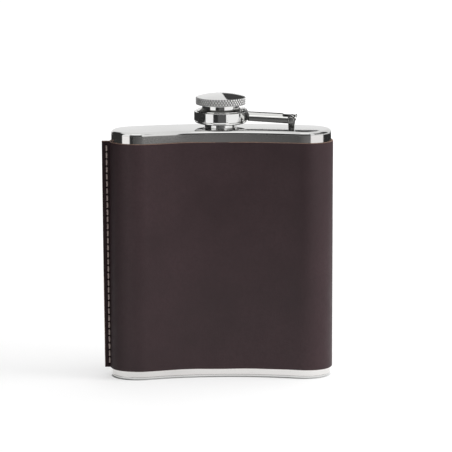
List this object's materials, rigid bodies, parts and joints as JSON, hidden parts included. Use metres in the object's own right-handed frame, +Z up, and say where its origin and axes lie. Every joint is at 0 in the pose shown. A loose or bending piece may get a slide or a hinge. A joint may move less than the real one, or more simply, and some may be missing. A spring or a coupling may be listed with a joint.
{
  "type": "hip flask",
  "caption": "Curved steel hip flask in a dark brown leather wrap sewn at one side, with a knurled screw cap held by a hinged arm.",
  "frame": {"origin": "on the flat underside of the foot plate, straight below the axis of the neck", "axes": "+Z up along the neck and cap, +X towards the hinge of the captive arm, -Y out of the hollow face of the curved body"},
  "size_m": [0.0993, 0.0293, 0.1218],
  "materials": {
    "shell_steel": "stainless steel, buffed bright, faint polishing lines along the wall",
    "cap_steel": "turned stainless steel, mirror polished, head with a fine diamond knurl",
    "arm_steel": "stamped stainless steel, tumbled bright",
    "seal": "soft off-white sealing disc, matt",
    "leather": "smooth dark brown leather, fine pores, low satin sheen, cut edges darker",
    "thread": "waxed brown sewing thread, twisted"
  },
  "bodies": {
    "root": {"body_shell": "shell_steel", "top_plate": "shell_steel", "bottom_plate": "shell_steel", "neck": "cap_steel", "hinge_lug": "arm_steel", "hinge_pin": "arm_steel", "leather_wrap": "leather", "needle_thread": "thread", "bobbin_thread": "thread"},
    "arm": {"arm": "arm_steel"},
    "cap": {"cap_body": "cap_steel", "cap_knob": "cap_steel", "cap_gasket": "seal"}
  },
  "joints": [
    {"name": "arm_swing", "type": "hinge", "parent": "root", "child": "arm", "pos_m": [0.0302, -0.00386, 0.111], "axis": [0.1269, 0.9919, 0], "range_deg": [0, 170]},
    {"name": "cap_turn", "type": "hinge", "parent": "arm", "child": "cap", "pos_m": [0, 0, 0.1142], "axis": [0, 0, 1], "range_deg": [0, 900]}
  ]
}
